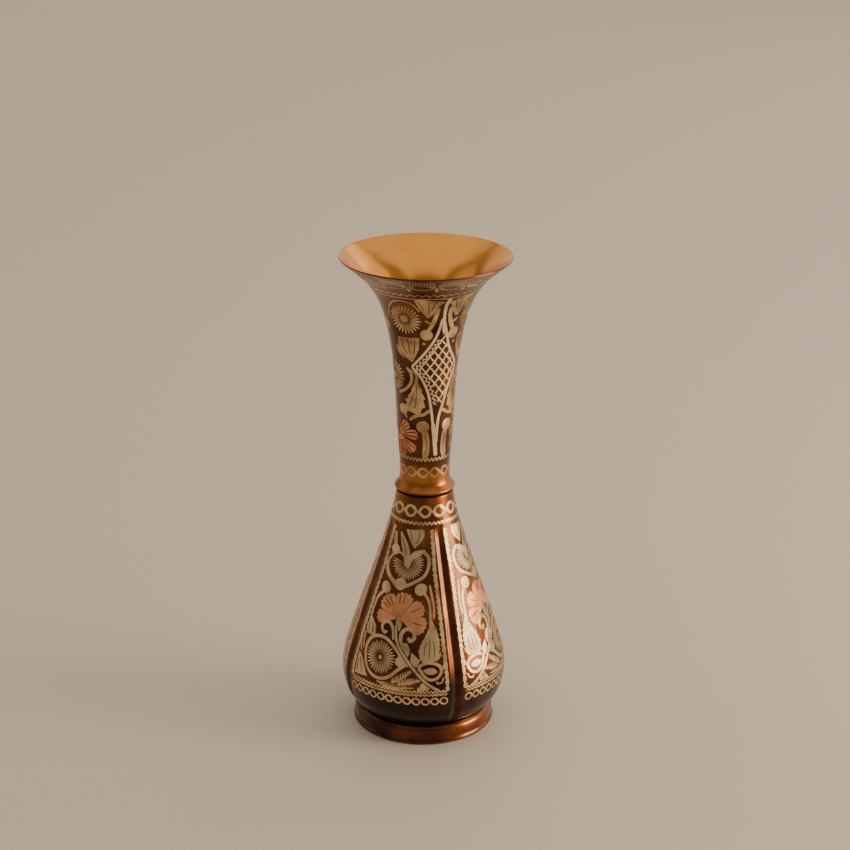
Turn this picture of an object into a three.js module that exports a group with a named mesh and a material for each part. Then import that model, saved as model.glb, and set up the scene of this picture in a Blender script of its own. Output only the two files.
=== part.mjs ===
// A tall brass vase: a fluted, pear-shaped body on a spun foot ring, with a long neck that flares to a trumpet mouth.
// Units are millimetres and +Z is up. The origin is the middle of the foot, on the surface that the vase stands on.
// The middle of the front panel faces -Y, and the four flutes lie on the diagonals between the panels.
import * as THREE from "three";

// Driving dimensions
const HEIGHT = 250; // floor to the highest point of the rim
const SHEET = 0.8; // thickness of the brass sheet
const FLUTES = 4; // pressed grooves round the body
const FLUTE_DEPTH = 1.7;
const FLUTE_HALF_WIDTH_LOW = 3.0; // half width along the surface at the belly
const FLUTE_HALF_WIDTH_HIGH = 2.3; // the same, where a flute starts under the waist
const FLUTE_TOP = 116; // height at which a flute has faded out upwards
const FLUTE_TOP_RUN = 9; // length over which it fades
const FLUTE_BOTTOM = 9.5; // height at which it has faded out downwards
const FLUTE_BOTTOM_RUN = 7;
const WAIST = 127.6; // top edge of the body, where the neck stands on it
const WAIST_GAP = 1.3; // height of the solder groove between body and neck
const RIM_RADIUS = 42.6;
const SOLDER_GAP = 0.15; // clearance left round each bead of solder

// How finely the round pieces are divided
const ROUND_SEGMENTS = 48;
const BODY_SEGMENTS = 80;
const FLUTE_CROWDING = 0.65; // how strongly the body's facets crowd towards the flutes
const NECK_STEPS = 22;
const BODY_STEPS = 19;
const FOOT_STEPS = 9;

const brass = (color, roughness) => new THREE.MeshStandardMaterial({ color, roughness, metalness: 1 });
const LACQUERED = brass(0x7a4520, 0.3);
const BARE = brass(0xc79a55, 0.35);
const TARNISHED = brass(0x5c4632, 0.5);
const SOLDER = brass(0x8d8b86, 0.45);

const points = (pairs) => pairs.map(([radius, z]) => new THREE.Vector2(radius, z));

// Outside outlines, as radius and height, from the bottom up. Each is one smooth curve.
const neckOutline = new THREE.SplineCurve(points([
  [14.2, WAIST + WAIST_GAP], // curled lower edge
  [14.9, 129.5],
  [15.4, 130.4], // bead
  [14.3, 131.9],
  [13.0, 134.2], // cove
  [12.6, 138.5], // narrowest place
  [12.9, 147],
  [13.9, 162],
  [15.0, 180],
  [16.3, 197],
  [18.7, 212],
  [22.6, 226],
  [28.4, 236.2],
  [35.4, 243.5],
  [RIM_RADIUS, HEIGHT - 0.6],
]));
const bodyOutline = new THREE.SplineCurve(points([
  [27.5, 7.9], // turned-in edge round the base disc
  [31.0, 8.6],
  [34.2, 10.7],
  [37.6, 14.4],
  [40.7, 20.2],
  [42.2, 29], // belly
  [41.5, 38],
  [38.9, 47.5],
  [34.9, 60],
  [30.2, 74],
  [25.4, 88],
  [21.1, 101],
  [17.8, 112],
  [15.7, 120.5],
  [14.5, WAIST],
]));
const footOutline = new THREE.SplineCurve(points([
  [35.8, 0],
  [36.5, 0.9], // rolled lip
  [36.4, 1.8],
  [35.9, 3.2],
  [35.9, 6.3],
  [35.3, 8.5], // shoulder
  [34.0, 9.8],
]));

// A closed ring section: an outline, and the same outline one sheet thickness further in, walked back.
function sheetSection(outline, steps) {
  const outside = [];
  const inside = [];
  for (let i = 0; i <= steps; i++) {
    const p = outline.getPoint(i / steps);
    const along = outline.getTangent(i / steps);
    outside.push(p);
    inside.unshift(new THREE.Vector2(p.x - along.y * SHEET, p.y + along.x * SHEET));
  }
  return [...outside, ...inside, outside[0].clone()];
}

// A section turned about Z. The first facet edge lies on -Y.
function turned(section, segments) {
  return new THREE.LatheGeometry(section, segments).rotateX(Math.PI / 2);
}

function piece(name, geometry, material) {
  const mesh = new THREE.Mesh(geometry, material);
  mesh.name = name;
  return mesh;
}

// Depth of a flute at an angle from its middle, and at a height. It has rounded shoulders and a rounded floor.
function fluteDepth(angle, radius, z) {
  const up = THREE.MathUtils.clamp((z - FLUTE_BOTTOM) / (FLUTE_TOP - FLUTE_BOTTOM), 0, 1);
  const halfWidth = THREE.MathUtils.lerp(FLUTE_HALF_WIDTH_LOW, FLUTE_HALF_WIDTH_HIGH, up);
  const across = Math.min(Math.abs(angle) * radius / halfWidth, 1);
  const fade = THREE.MathUtils.smoothstep(z, FLUTE_BOTTOM, FLUTE_BOTTOM + FLUTE_BOTTOM_RUN)
    * (1 - THREE.MathUtils.smoothstep(z, FLUTE_TOP - FLUTE_TOP_RUN, FLUTE_TOP));
  const narrowing = halfWidth / FLUTE_HALF_WIDTH_LOW;
  return FLUTE_DEPTH * narrowing * fade * Math.cos(across * Math.PI / 2) ** 2;
}

// Presses the flutes into a turned shell, both faces alike, and crowds its facets towards them.
function fluted(geometry) {
  const position = geometry.getAttribute("position");
  const spacing = 2 * Math.PI / FLUTES;
  for (let i = 0; i < position.count; i++) {
    const x = position.getX(i);
    const y = position.getY(i);
    const z = position.getZ(i);
    const even = Math.atan2(x, -y);
    const turn = even - FLUTE_CROWDING / FLUTES * Math.sin(FLUTES * (even - spacing / 2));
    const fromFlute = turn - spacing / 2 - spacing * Math.round((turn - spacing / 2) / spacing);
    const round = Math.hypot(x, y);
    const radius = round - fluteDepth(fromFlute, round, z);
    position.setXYZ(i, radius * Math.sin(turn), -radius * Math.cos(turn), z);
  }
  return geometry;
}

function trumpetNeck() {
  return piece("trumpet_neck", turned(sheetSection(neckOutline, NECK_STEPS), ROUND_SEGMENTS), LACQUERED);
}

function bodyShell() {
  return piece("body_shell", fluted(turned(sheetSection(bodyOutline, BODY_STEPS), BODY_SEGMENTS)), LACQUERED);
}

// A short tube inside the waist that lines the neck up with the body.
function jointSleeve() {
  const outer = 13.3;
  const inner = outer - SHEET;
  const low = WAIST - 9;
  const high = WAIST + 3.1;
  const section = points([[outer, low], [outer, high], [inner, high], [inner, low], [outer, low]]);
  return piece("joint_sleeve", turned(section, ROUND_SEGMENTS), BARE);
}

// The bead of solder in the groove under the neck.
function waistSolder() {
  const outer = 14.1;
  const inner = 13.5;
  const low = WAIST + SOLDER_GAP;
  const high = WAIST + WAIST_GAP - SOLDER_GAP;
  const section = points([[outer, low], [outer, high], [inner, high], [inner, low], [outer, low]]);
  return piece("waist_solder", turned(section, ROUND_SEGMENTS), TARNISHED);
}

// The spun foot: a rolled lip, a round shoulder, and a flange that the body sits in.
function footRing() {
  const outside = footOutline.getPoints(FOOT_STEPS);
  const seat = points([[32.4, 8.8], [30.2, 7.9], [30.2, 7.1], [32.6, 7.95], [33.7, 8.7]]);
  const inside = points([[34.6, 7.8], [35.1, 6.1], [35.1, 3.2], [34.6, 1.6], [34.2, 0]]);
  const section = [...outside, ...seat, ...inside, outside[0].clone()];
  return piece("foot_ring", turned(section, ROUND_SEGMENTS), LACQUERED);
}

// The flat disc that closes the bottom of the body.
function baseDisc() {
  const radius = 29.6;
  const low = 6.9;
  const high = low + SHEET - 0.1;
  const section = points([[0, low], [radius, low], [radius, high], [0, high]]);
  return piece("base_disc", turned(section, ROUND_SEGMENTS), BARE);
}

// The fillet of solder that joins the disc, the body and the foot, seen from below.
function footSolder() {
  const section = points([[28.4, 6.7], [29.2, 6.15], [30.6, 6.1], [31.4, 6.75], [30.6, 6.9], [29.8, 6.7], [28.4, 6.7]]);
  return piece("foot_solder", turned(section, ROUND_SEGMENTS), SOLDER);
}

const vase = new THREE.Group();
vase.add(trumpetNeck(), waistSolder(), jointSleeve(), bodyShell(), baseDisc(), footSolder(), footRing());

export default vase;
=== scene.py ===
"""The looks of a tall engraved brass vase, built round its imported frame.

The vase is spun from brass sheet: a pear-shaped body with four pressed flutes stands on a spun foot, and a
long neck on top flares to a trumpet mouth. The outside is lacquered brown. Flowers, leaves and borders are
cut through the lacquer with a graver, and some petals have a copper-coloured lacquer of their own. Shapes are
drawn flat in millimetres, as a distance across and a distance along the metal, and are laid on the turned
surface. Blender objects are in metres.
"""

import itertools
import logging
import math
from collections.abc import Sequence
from dataclasses import dataclass, field
from enum import Enum
from functools import cached_property

import bmesh
import bpy
from mathutils import Matrix, Vector


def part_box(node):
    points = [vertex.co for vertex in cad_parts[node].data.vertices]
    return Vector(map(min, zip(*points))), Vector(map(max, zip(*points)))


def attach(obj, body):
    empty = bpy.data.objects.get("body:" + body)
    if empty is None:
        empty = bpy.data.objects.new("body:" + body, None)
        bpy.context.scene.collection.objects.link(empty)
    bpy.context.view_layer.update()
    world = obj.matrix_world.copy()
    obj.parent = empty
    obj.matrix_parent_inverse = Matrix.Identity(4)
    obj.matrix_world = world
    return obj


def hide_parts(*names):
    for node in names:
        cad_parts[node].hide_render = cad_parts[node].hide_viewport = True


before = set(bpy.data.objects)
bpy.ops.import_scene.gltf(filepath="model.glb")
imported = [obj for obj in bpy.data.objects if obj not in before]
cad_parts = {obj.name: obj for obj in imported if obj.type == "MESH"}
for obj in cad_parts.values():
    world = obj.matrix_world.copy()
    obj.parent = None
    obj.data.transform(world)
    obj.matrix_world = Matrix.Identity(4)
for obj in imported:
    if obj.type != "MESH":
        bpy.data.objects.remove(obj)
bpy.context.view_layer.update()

log = logging.getLogger("engraved_vase")
MM = 0.001
BODY = "root"

Line = Sequence[Vector]
Points = Sequence[Sequence[float]]
Outline = tuple[tuple[float, float], ...]
Places = Sequence[tuple[float, int]]
Tones = tuple[tuple[float, float, float, float], ...]
Socket = bpy.types.NodeSocket


# ----------------------------------------------------------------------------------------
# Lines and turned surfaces
# ----------------------------------------------------------------------------------------


def smooth_line(points: Points, steps: int = 8, closed: bool = False) -> list[Vector]:
    """Runs one smooth curve through a few points.

    Args:
        points: The points that the curve passes through, in order.
        steps: How many pieces each span is divided into.
        closed: Whether the curve comes back to its first point.

    Returns:
        The points of the finer line. A closed line ends where it starts.
    """
    knots = [Vector(point) for point in points]
    count = len(knots)
    line = []
    for i in range(count if closed else count - 1):
        near = [(i + k) % count if closed else min(max(i + k, 0), count - 1) for k in (-1, 0, 1, 2)]
        before, start, end, after = (knots[k] for k in near)
        leave, arrive = (end - before) / 2, (after - start) / 2
        for step in range(steps):
            t = step / steps
            cubic = (2 * start - 2 * end + leave + arrive) * t**3
            line.append(cubic + (-3 * start + 3 * end - 2 * leave - arrive) * t**2 + leave * t + start)
    line.append(knots[0] if closed else knots[-1])
    return line


def sides(line: Line, closed: bool = False) -> list[Vector]:
    """Finds the direction to the left of a flat line at each of its points.

    Args:
        line: The points of the line.
        closed: Whether its last point is its first one again.

    Returns:
        A unit vector for each point.
    """
    last = len(line) - 1
    left = []
    for i in range(len(line)):
        if closed:
            along = line[(i + 1) % last] - line[(i - 1) % last]
        else:
            along = line[min(i + 1, last)] - line[max(i - 1, 0)]
        left.append(Vector((-along.y, along.x)).normalized())
    return left


def heading(degrees: float) -> Vector:
    """Returns the flat direction at an angle, anticlockwise from straight across."""
    angle = math.radians(degrees)
    return Vector((math.cos(angle), math.sin(angle)))


def distances(line: Line) -> list[float]:
    """Returns how far along a line each of its points lies."""
    run = [0.0]
    for a, b in zip(line, line[1:]):
        run.append(run[-1] + (b - a).length)
    return run


def between(values: Sequence[float], share: float) -> float:
    """Reads evenly spaced values at a share of their length, with straight lines between them."""
    place = min(max(share, 0.0), 1.0) * (len(values) - 1)
    low = min(int(place), len(values) - 2)
    return values[low] + (values[low + 1] - values[low]) * (place - low)


def across_at(edge: Line, arc: float) -> float:
    """Reads how far across an edge, drawn from its lower end up, lies at a distance along the metal."""
    for a, b in zip(edge, edge[1:]):
        if b.y >= arc:
            return a.x + (b.x - a.x) * (arc - a.y) / (b.y - a.y)
    return edge[-1].x


def soft_step(value: float, low: float, high: float) -> float:
    """Rises smoothly from 0 at low to 1 at high."""
    t = min(max((value - low) / (high - low), 0.0), 1.0)
    return t * t * (3 - 2 * t)


@dataclass(frozen=True)
class Flutes:
    """Grooves pressed down the body, all of one depth, in millimetres."""

    count: int = 4
    depth: float = 1.7
    bottom_round: float = 0.3
    half_width_low: float = 3.0
    half_width_high: float = 2.3
    top: float = 116.0
    top_run: float = 9.0
    bottom: float = 9.5
    bottom_run: float = 7.0
    crowding: float = 0.65

    def sink(self, turn: float, radius: float, height: float) -> float:
        """Says how far the metal is pressed in.

        Args:
            turn: Angle round the axis, from the middle of a panel.
            radius: Radius there before pressing.
            height: Height there.

        Returns:
            The depth in millimetres.
        """
        spacing = math.tau / self.count
        off = turn - spacing / 2
        off -= spacing * round(off / spacing)
        up = min(max((height - self.bottom) / (self.top - self.bottom), 0.0), 1.0)
        half_width = self.half_width_low + (self.half_width_high - self.half_width_low) * up
        across = min(abs(off) * radius / half_width, 1.0)
        fade = soft_step(height, self.bottom, self.bottom + self.bottom_run)
        fade *= 1 - soft_step(height, self.top - self.top_run, self.top)
        wall = math.hypot(1.0, self.bottom_round) - math.hypot(across, self.bottom_round)
        return self.depth * half_width / self.half_width_low * fade * wall

    def crowd(self, turn: float) -> float:
        """Moves an evenly spaced angle towards the nearest flute, so that the fine facets lie there."""
        half = math.pi / self.count
        return turn - self.crowding / self.count * math.sin(self.count * (turn - half))


@dataclass
class TurnedSurface:
    """The outside of a piece that is turned about the vase's axis, in millimetres."""

    points: Outline
    foot: float = 0.0
    flutes: Flutes | None = None
    steps: int = 9

    @cached_property
    def outline(self) -> list[Vector]:
        """The outline from its lower end up, as radius and height above the floor."""
        return smooth_line([(radius, self.foot + height) for radius, height in self.points], self.steps)

    @cached_property
    def arcs(self) -> list[float]:
        """The distance along the metal to each point of the outline."""
        return distances(self.outline)

    def spot(self, arc: float) -> tuple[Vector, Vector]:
        """Finds a place on the outline.

        Args:
            arc: Distance along the metal from the outline's lower end.

        Returns:
            The radius and height there, and the outward normal in the same plane.
        """
        low, high = 0, len(self.arcs) - 1
        while high - low > 1:
            middle = (low + high) // 2
            low, high = (middle, high) if self.arcs[middle] <= arc else (low, middle)
        along = self.outline[high] - self.outline[low]
        share = (arc - self.arcs[low]) / (self.arcs[high] - self.arcs[low])
        return self.outline[low] + along * share, Vector((along.y, -along.x)).normalized()

    def radius_at(self, arc: float) -> float:
        """Returns the radius at a distance along the metal."""
        return self.spot(arc)[0].x

    def place(self, across: float, arc: float, lift: float, facing: float = 0.0) -> Vector:
        """Lays a drawn point on the metal.

        Args:
            across: Distance round the metal from the middle of the drawing.
            arc: Distance along the metal from its lower end.
            lift: Height above the metal.
            facing: Angle round the axis to the middle of the drawing.

        Returns:
            The point in metres.
        """
        point, normal = self.spot(arc)
        turn = facing + across / point.x
        radius = point.x + normal.x * lift
        if self.flutes:
            radius -= self.flutes.sink(turn, point.x, point.y)
        height = point.y + normal.y * lift
        return Vector((radius * math.sin(turn), -radius * math.cos(turn), height)) * MM


# ----------------------------------------------------------------------------------------
# Finishes
# ----------------------------------------------------------------------------------------


def linear(shade: str) -> tuple[float, float, float, float]:
    """Turns an sRGB hex colour such as "#7a4520" into linear red, green, blue and alpha."""
    parts = [int(shade[i : i + 2], 16) / 255 for i in (1, 3, 5)]
    red, green, blue = (c / 12.92 if c <= 0.04045 else ((c + 0.055) / 1.055) ** 2.4 for c in parts)
    return red, green, blue, 1.0


def wave_scale(period: float) -> float:
    """Returns the Wave Texture scale that repeats at a period, in the units of its coordinates."""
    return math.pi / 10 / period


class Surface:
    """A material while it is being built."""

    def __init__(self, name: str) -> None:
        """Starts the material.

        Args:
            name: The finish's name.
        """
        self.material = bpy.data.materials.new(name)
        self.material.use_nodes = True
        self.tree = self.material.node_tree
        self.shader = self.tree.nodes["Principled BSDF"]

    @cached_property
    def place(self) -> Socket:
        """The Object coordinates."""
        return self.add("ShaderNodeTexCoord", out="Object")

    def add(
        self, kind: str, settings: dict | None = None, links: dict | None = None, out: str | int = 0
    ) -> Socket:
        """Adds one shader node.

        Args:
            kind: The node's type name.
            settings: Properties of the node, and values for its inputs by name or number. For a colour ramp,
                "stops" gives its sRGB hex colours by their place.
            links: Output sockets to join to its inputs, by name or number.
            out: The name or number of the output that is wanted.

        Returns:
            That output.
        """
        node = self.tree.nodes.new(kind)
        for key, value in (settings or {}).items():
            if key == "stops":
                elements = node.color_ramp.elements
                while len(elements) < len(value):
                    elements.new(0.5)
                for element, (place, shade) in zip(elements, sorted(value.items())):
                    element.position = place
                    element.color = linear(shade)
            elif isinstance(key, str) and hasattr(node, key):
                setattr(node, key, value)
            else:
                node.inputs[key].default_value = value
        for key, output in (links or {}).items():
            self.tree.links.new(output, node.inputs[key])
        return node.outputs[out]

    def by_height(self, tone: Socket, changes: Tones) -> Socket:
        """Adds to a number, by height.

        Args:
            tone: The number.
            changes: For each change, the heights in millimetres where it starts and ends, and what is added
                below the first and above the second.

        Returns:
            The sum.
        """
        height = self.add("ShaderNodeSeparateXYZ", links={"Vector": self.place}, out="Z")
        for low, high, before, after in changes:
            reach = {"From Min": low * MM, "From Max": high * MM, "To Min": before, "To Max": after}
            change = self.add("ShaderNodeMapRange", reach, {"Value": height})
            tone = self.add("ShaderNodeMath", {"operation": "ADD"}, {0: tone, 1: change})
        return tone


@dataclass(frozen=True)
class MetalFinish:
    """A metal surface. Each kind of finish says how its colour and its relief vary."""

    name: str
    roughness: float
    bump: float = 0.1
    bump_mm: float = 0.1
    coat: float = 0.0
    coat_roughness: float = 0.03

    def pattern(self, surface: Surface) -> tuple[Socket, Socket]:
        """Draws the pattern.

        Args:
            surface: The material that is being built.

        Returns:
            The colour, and the height of the relief.
        """
        raise NotImplementedError

    def material(self) -> bpy.types.Material:
        """Builds the material."""
        surface = Surface(self.name)
        colour, relief = self.pattern(surface)
        depth = {"Strength": self.bump, "Distance": self.bump_mm * MM}
        normal = surface.add("ShaderNodeBump", depth, {"Height": relief})
        shader = surface.shader
        surface.tree.links.new(colour, shader.inputs["Base Color"])
        surface.tree.links.new(normal, shader.inputs["Normal"])
        shader.inputs["Metallic"].default_value = 1.0
        shader.inputs["Roughness"].default_value = self.roughness
        shader.inputs["Coat Weight"].default_value = self.coat
        shader.inputs["Coat Roughness"].default_value = self.coat_roughness
        return surface.material


@dataclass(frozen=True)
class BrownLacquer(MetalFinish):
    """Brown copper-coloured lacquer, sprayed and baked over polished brass.

    It is a metal seen through a stained clear film, whose sharp gloss lies over the metal's softer gleam.
    Its colour carries painted shade on the foot and, deepest, on the lower belly, a painted highlight at the
    foot of the neck, and painted shade again up the neck. It is worn in specks at the foot's lip.
    """

    name: str = "brown_lacquer_on_brass"
    roughness: float = 0.33
    bump: float = 0.03
    bump_mm: float = 0.2
    coat: float = 0.45
    coat_roughness: float = 0.08
    # The lightest and the darkest colours of the ramp: besides the clouds, they hold the painted highlight
    # and the painted shade that are added by height.
    light_clouds_and_painted_highlight: str = "#ad6a2c"
    usual: str = "#6e3712"
    dark_clouds_and_painted_shade: str = "#260802"
    worn: str = "#a99a88"
    cloud_mm: float = 22.0
    specks_per_metre: float = 900.0
    spin_mark_mm: float = 0.9  # real marks are finer than a render can show
    # Painted light and shade by height, added to the clouds: painted shade on the foot and, deepest, on the
    # lower belly, fading out by 48 mm; a painted highlight at the foot of the neck from 128.5 mm; painted
    # shade again on the neck, full above 147 mm.
    painted_light_and_shade_by_height: Tones = (
        (9.4, 10.4, -0.13, -0.46),
        (14.0, 48.0, 0.0, 0.43),
        (128.0, 128.5, 0.0, 0.22),
        (138.5, 147.0, 0.0, -0.32),
    )
    lip_wear: Tones = ((0.6, 2.6, 0.0, -0.35),)

    def pattern(self, surface: Surface) -> tuple[Socket, Socket]:
        """Draws lacquer clouds, painted shade and highlight, bare specks at the lip and faint lathe marks.

        Args:
            surface: The material that is being built.

        Returns:
            The colour, and the height of the relief.
        """
        place = {"Vector": surface.place}
        grain = {"Scale": 1 / (self.cloud_mm * MM), "Detail": 4.0}
        # Painted shade and a painted highlight are added to the clouds by height.
        tone = surface.by_height(surface.add("ShaderNodeTexNoise", grain, place, "Fac"), self.painted_light_and_shade_by_height)
        stops = {"stops": {0.18: self.dark_clouds_and_painted_shade, 0.5: self.usual, 0.75: self.light_clouds_and_painted_highlight}}
        shade = surface.add("ShaderNodeValToRGB", stops, {"Fac": tone})
        grain = {"Scale": self.specks_per_metre, "Detail": 3.0}
        specks = surface.by_height(surface.add("ShaderNodeTexNoise", grain, place, "Fac"), self.lip_wear)
        wear = surface.add("ShaderNodeMapRange", {"From Min": 0.54, "From Max": 0.6}, {"Value": specks})
        shades = {"data_type": "RGBA", 7: linear(self.worn)}
        shade = surface.add("ShaderNodeMix", shades, {0: wear, 6: shade}, 2)
        marks = {"bands_direction": "Z", "Scale": wave_scale(self.spin_mark_mm * MM)}
        marks |= {"Distortion": 2.0, "Detail": 2.0}
        return shade, surface.add("ShaderNodeTexWave", marks, place, "Fac")


@dataclass(frozen=True)
class SpunBrass(MetalFinish):
    """Bare brass inside the mouth, as it left the lathe: satin, with fine rings from the spinning tool."""

    name: str = "bare_spun_brass"
    roughness: float = 0.22
    bump: float = 0.06
    bright: str = "#eca24e"
    dull: str = "#d88a38"
    clouds_per_metre: float = 60.0
    ring_mm: float = 0.7  # real rings are finer than a render can show

    def pattern(self, surface: Surface) -> tuple[Socket, Socket]:
        """Draws the lathe's rings over faint clouds.

        Args:
            surface: The material that is being built.

        Returns:
            The colour, and the height of the relief.
        """
        place = {"Vector": surface.place}
        grain = {"Scale": self.clouds_per_metre, "Detail": 5.0}
        clouds = surface.add("ShaderNodeTexNoise", grain, place, "Fac")
        wave = {"bands_direction": "Z", "Scale": wave_scale(self.ring_mm * MM)}
        wave |= {"Distortion": 1.5, "Detail": 2.0}
        rings = surface.add("ShaderNodeTexWave", wave, place, "Fac")
        mix = {"operation": "MULTIPLY_ADD", 1: 0.35}
        mixed = surface.add("ShaderNodeMath", mix, {0: rings, 2: clouds})
        stops = {"stops": {0.3: self.dull, 0.85: self.bright}}
        return surface.add("ShaderNodeValToRGB", stops, {"Fac": mixed}), rings


@dataclass(frozen=True)
class GraverCut(MetalFinish):
    """Metal bared by a graver that is rocked along the cut: satin, with fine ridges along each petal.

    The ridges run along the piece's own UV map, which is in millimetres along and across each shape.
    """

    name: str = "graver_cut_pale_brass"
    roughness: float = 0.33
    bump: float = 0.35
    ridge: str = "#eed0a2"
    valley: str = "#8e663a"
    # Painted shade: the pale cuts and the copper petals on the neck, above 130 mm, are painted darker.
    painted_light_and_shade_by_height: Tones = ((126.0, 130.0, 0.0, -0.2),)
    clouds_per_metre: float = 140.0
    ridge_mm: float = 0.42  # real ridges are too fine for a render to show

    def pattern(self, surface: Surface) -> tuple[Socket, Socket]:
        """Draws the graver's ridges over faint clouds.

        Args:
            surface: The material that is being built.

        Returns:
            The colour, and the height of the relief.
        """
        strokes = surface.add("ShaderNodeTexCoord", out="UV")
        wave = {"bands_direction": "Y", "Scale": wave_scale(self.ridge_mm), "Distortion": 1.2, "Detail": 2.0}
        ridges = surface.add("ShaderNodeTexWave", wave, {"Vector": strokes}, "Fac")
        grain = {"Scale": self.clouds_per_metre, "Detail": 4.0}
        clouds = surface.add("ShaderNodeTexNoise", grain, {"Vector": surface.place}, "Fac")
        mix = {"operation": "MULTIPLY_ADD", 1: 0.45}
        mixed = surface.add("ShaderNodeMath", mix, {0: ridges, 2: clouds})
        stops = {"stops": {0.4: self.valley, 0.75: self.ridge}}
        # The painted shade on the neck is added here.
        tone = surface.by_height(mixed, self.painted_light_and_shade_by_height)
        return surface.add("ShaderNodeValToRGB", stops, {"Fac": tone}), ridges


@dataclass(frozen=True)
class SoftSolder(MetalFinish):
    """Tin-lead solder that was wiped while hot: grey, dull and lumpy."""

    name: str = "wiped_soft_solder"
    roughness: float = 0.5
    bump: float = 0.5
    bump_mm: float = 0.3
    light: str = "#8f8b84"
    dark: str = "#4a443c"
    lumps_per_metre: float = 350.0

    def pattern(self, surface: Surface) -> tuple[Socket, Socket]:
        """Draws the lumps.

        Args:
            surface: The material that is being built.

        Returns:
            The colour, and the height of the relief.
        """
        grain = {"Scale": self.lumps_per_metre, "Detail": 5.0}
        lumps = surface.add("ShaderNodeTexNoise", grain, {"Vector": surface.place}, "Fac")
        stops = {"stops": {0.35: self.dark, 0.65: self.light}}
        return surface.add("ShaderNodeValToRGB", stops, {"Fac": lumps}), lumps


# Painted highlight: a paler, brighter copy of the cut finish, without the neck's painted shade, for the
# neck's lattice.
PAINTED_HIGHLIGHT_CUT = GraverCut("graver_cut_painted_highlight", 0.28, ridge="#fae4be", valley="#be9a6a", painted_light_and_shade_by_height=())
COPPER_CUT = GraverCut("graver_cut_copper_lacquer", 0.4, ridge="#f6b080", valley="#ac683c")
STAINED_SOLDER = SoftSolder("lacquer_stained_solder", 0.55, light="#3a2013", dark="#120703")


class Finish(Enum):
    """The finishes on the vase. Each value is the record's material slot, and what makes the material."""

    LACQUER = ("lacquered_brass", BrownLacquer())
    BARE = ("bare_brass", SpunBrass())
    CUT = ("engraved_metal", GraverCut())
    # The painted-highlight copy of the cut finish, for the neck's lattice.
    PAINTED_HIGHLIGHT_CUT = ("engraved_metal", PAINTED_HIGHLIGHT_CUT)
    COPPER = ("copper_petal", COPPER_CUT)
    SOLDER = ("soft_solder", SoftSolder())
    STAINED_SOLDER = ("tarnished_solder", STAINED_SOLDER)

    @property
    def slot(self) -> str:
        """The record's material slot."""
        return self.value[0]

    @cached_property
    def material(self) -> bpy.types.Material:
        """The finish's material, built the first time it is asked for."""
        return self.value[1].material()


# ----------------------------------------------------------------------------------------
# Making pieces
# ----------------------------------------------------------------------------------------


def finish_piece(
    mesh: bmesh.types.BMesh,
    name: str,
    finishes: Sequence[Finish],
    replaced: Sequence[str] = (),
    crease_degrees: float = 40.0,
) -> None:
    """Turns a finished bmesh into a piece that rides on the vase.

    Args:
        mesh: The shape, in metres in the vase's own frame. It is freed.
        name: The piece's name.
        finishes: Its finishes.
        replaced: The CAD nodes that it stands for.
        crease_degrees: Edges sharper than this stay sharp.
    """
    for face in mesh.faces:
        face.smooth = True
    crease = math.radians(crease_degrees)
    for edge in mesh.edges:
        edge.smooth = not edge.is_manifold or edge.calc_face_angle(0.0) < crease
    data = bpy.data.meshes.new(name)
    mesh.to_mesh(data)
    mesh.free()
    for finish in finishes:
        data.materials.append(finish.material)
    piece = bpy.data.objects.new(name, data)
    bpy.context.scene.collection.objects.link(piece)
    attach(piece, BODY)
    if replaced:
        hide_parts(*replaced)
    log.info("%s: %d faces", name, len(data.polygons))


MERGE_MM = 0.002


def turned_piece(section: Line, segments: int) -> bmesh.types.BMesh:
    """Turns a closed section about the vase's axis.

    Args:
        section: Radius and height of each corner in millimetres, without the first one again at the end.
        segments: How many facets go round.

    Returns:
        The closed shape, in metres.
    """
    mesh = bmesh.new()
    corners = [mesh.verts.new((0.0, -point.x * MM, point.y * MM)) for point in section]
    rim = [mesh.edges.new(pair) for pair in zip(corners, corners[1:] + corners[:1])]
    around_axis = {"cent": (0, 0, 0), "axis": (0, 0, 1), "angle": math.tau}
    bmesh.ops.spin(mesh, geom=corners + rim, steps=segments, use_merge=True, **around_axis)
    bmesh.ops.remove_doubles(mesh, verts=mesh.verts, dist=MERGE_MM * MM)
    bmesh.ops.delete(mesh, geom=[edge for edge in mesh.edges if edge.is_wire], context="EDGES")
    bmesh.ops.recalc_face_normals(mesh, faces=mesh.faces)
    return mesh


def sheet_section(outline: Line, thickness: float, nose_steps: int = 4) -> list[Vector]:
    """Gives an outline the thickness of a sheet, with rounded edges.

    Args:
        outline: The outside line from its lower end up, as radius and height.
        thickness: The sheet's thickness.
        nose_steps: How many facets each rounded edge has.

    Returns:
        The closed section's corners, without the first one again at the end.
    """
    inward = sides(outline)
    inside = [point + side * thickness for point, side in zip(outline, inward)]
    section = list(outline)
    for end, turn in ((-1, 1), (0, -1)):
        middle = (outline[end] + inside[end]) / 2
        out = -inward[end] * thickness / 2 * turn
        ahead = Vector((inward[end].y, -inward[end].x)) * thickness / 2 * turn
        for step in range(1, nose_steps):
            angle = math.pi * step / nose_steps
            section.append(middle + out * math.cos(angle) + ahead * math.sin(angle))
        if end == -1:
            section += reversed(inside)
    return section


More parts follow.
